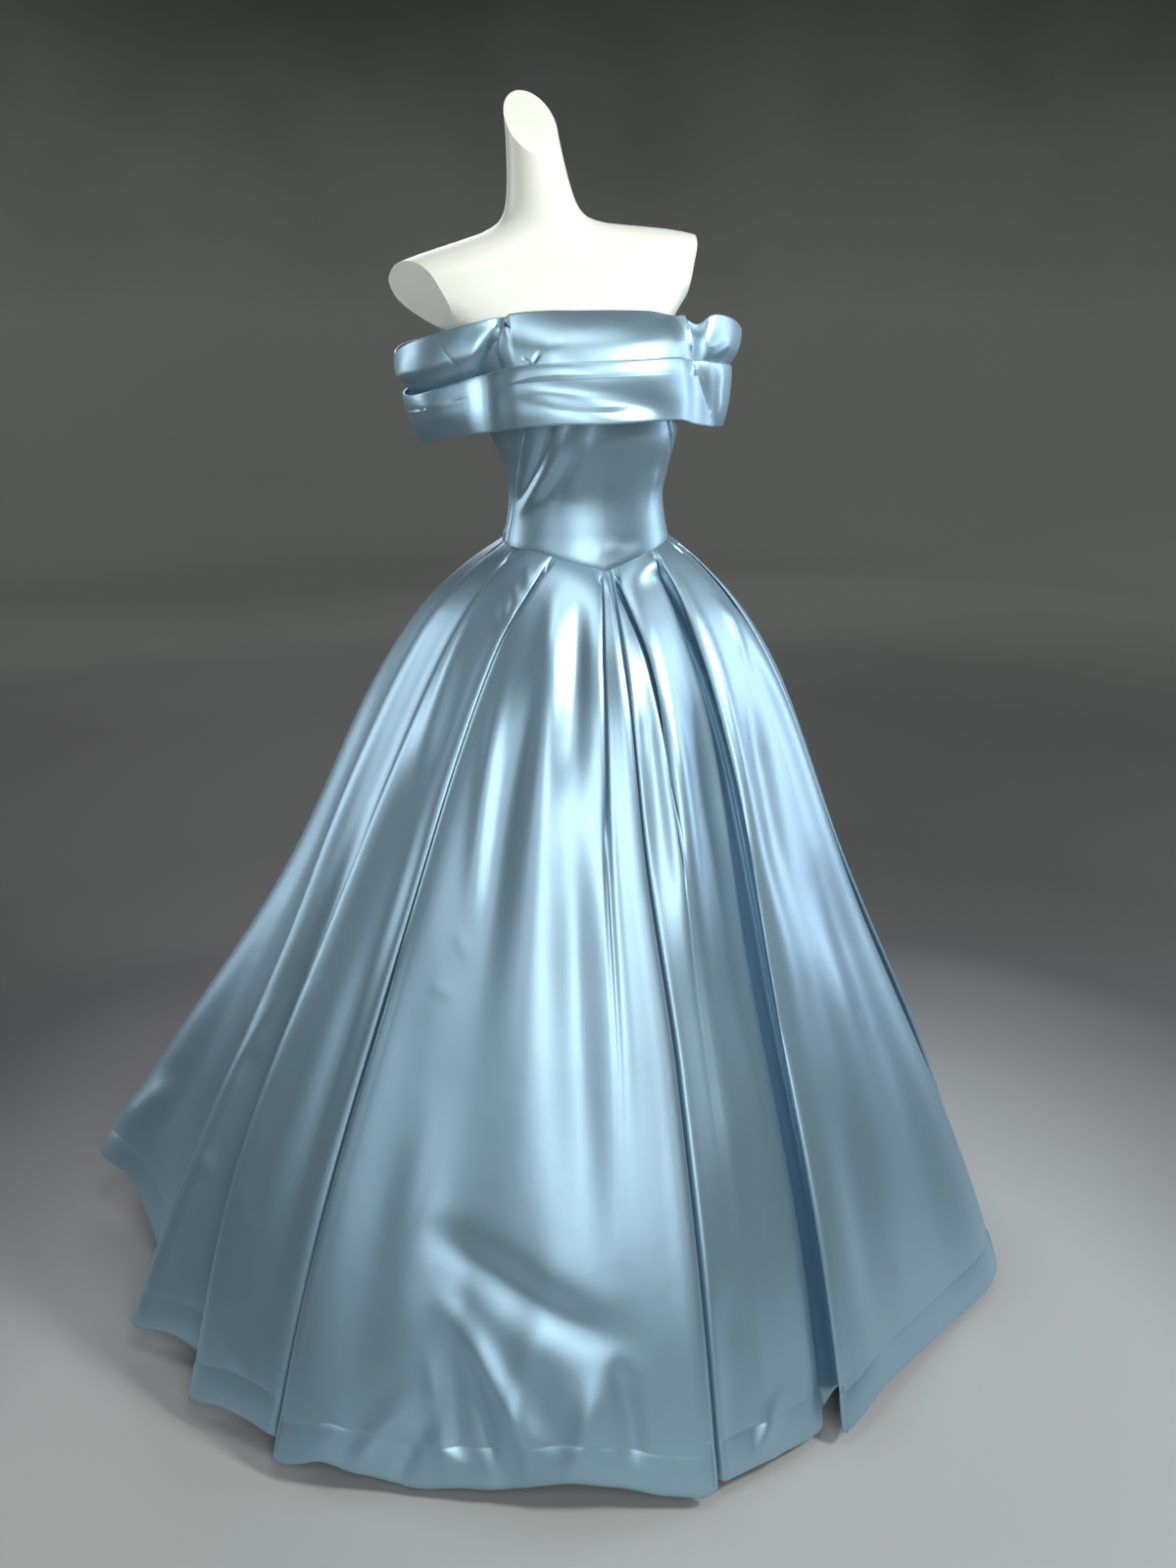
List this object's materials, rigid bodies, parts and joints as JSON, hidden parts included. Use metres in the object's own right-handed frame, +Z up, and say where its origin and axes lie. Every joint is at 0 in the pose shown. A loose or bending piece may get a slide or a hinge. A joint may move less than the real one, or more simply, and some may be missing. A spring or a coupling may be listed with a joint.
{
  "type": "ball gown on a dress form",
  "caption": "Floor-length off-the-shoulder satin ball gown with a basque waist, draped chest bands and a box-pleated skirt, worn by a limbless dress form on a stand.",
  "frame": {"origin": "on the floor, on the underside of the stand's round base, 8 mm behind its centre and below the middle of the waist", "axes": "+Z up, the front of the gown faces -Y, the form's left arm is at +X"},
  "size_m": [1.3688, 1.4208, 1.6533],
  "materials": {
    "satin": "ice-blue duchess satin with a soft sheen",
    "form_shell": "white painted fibreglass, smooth and low in gloss",
    "stand_steel": "brushed steel tube",
    "stand_base": "white painted steel plate"
  },
  "bodies": {
    "root": {"bodice_back_right": "satin", "bodice_side_right": "satin", "bodice_front_centre": "satin", "bodice_side_left": "satin", "bodice_back_left": "satin", "skirt_back_right": "satin", "skirt_train_right": "satin", "skirt_hip_right": "satin", "skirt_side_right": "satin", "skirt_front_right": "satin", "skirt_front_inset": "satin", "skirt_front_left": "satin", "skirt_side_left": "satin", "skirt_back_left": "satin", "band_upper_front": "satin", "band_upper_back": "satin", "band_lower_front": "satin", "band_lower_back": "satin", "sleeve_left_upper": "satin", "sleeve_left_lower": "satin", "sleeve_right_upper": "satin", "sleeve_right_lower": "satin", "form_torso": "form_shell", "form_pole": "stand_steel", "form_base": "stand_base"}
  },
  "joints": []
}
